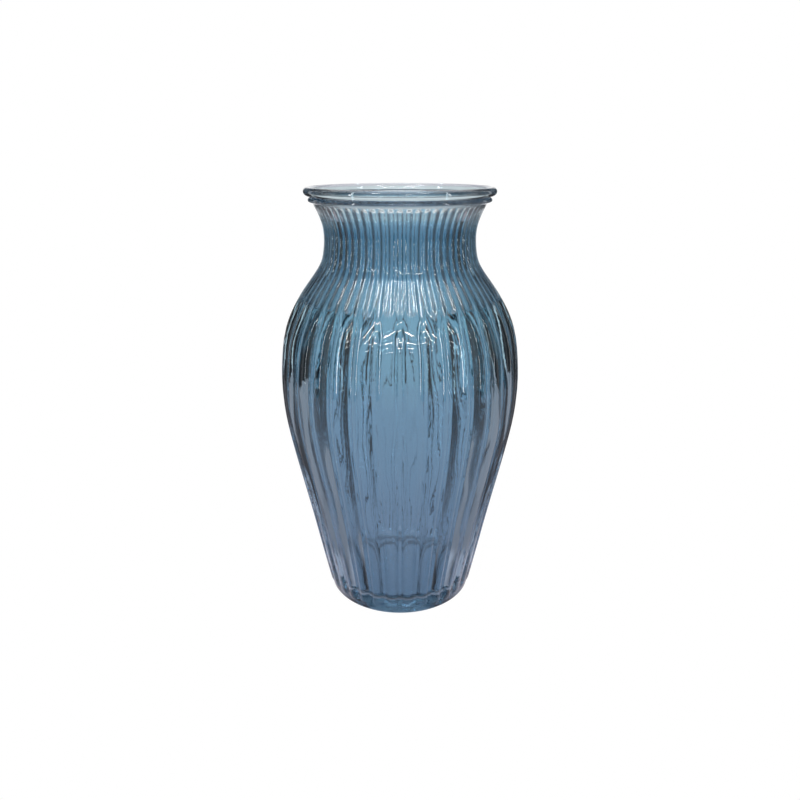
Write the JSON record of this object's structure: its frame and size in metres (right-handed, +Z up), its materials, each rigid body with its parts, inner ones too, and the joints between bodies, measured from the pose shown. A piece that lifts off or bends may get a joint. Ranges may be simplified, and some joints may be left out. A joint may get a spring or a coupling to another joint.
{
  "type": "glass flower vase",
  "caption": "Tall baluster-shaped flower vase of blue glass with rounded vertical ribs on the body, fine flutes on the neck, a round bead rim and a flat base.",
  "frame": {"origin": "centre of the foot, on the plane that the vase stands on", "axes": "+Z up along the vase's axis; a groove between two body ribs lies in the -Y direction, the front"},
  "size_m": [0.1474, 0.1474, 0.26],
  "materials": {
    "blue_glass": "clear, see-through grey-blue moulded glass with fire-polished surfaces"
  },
  "bodies": {
    "root": {"glass_vase": "blue_glass"}
  },
  "joints": []
}
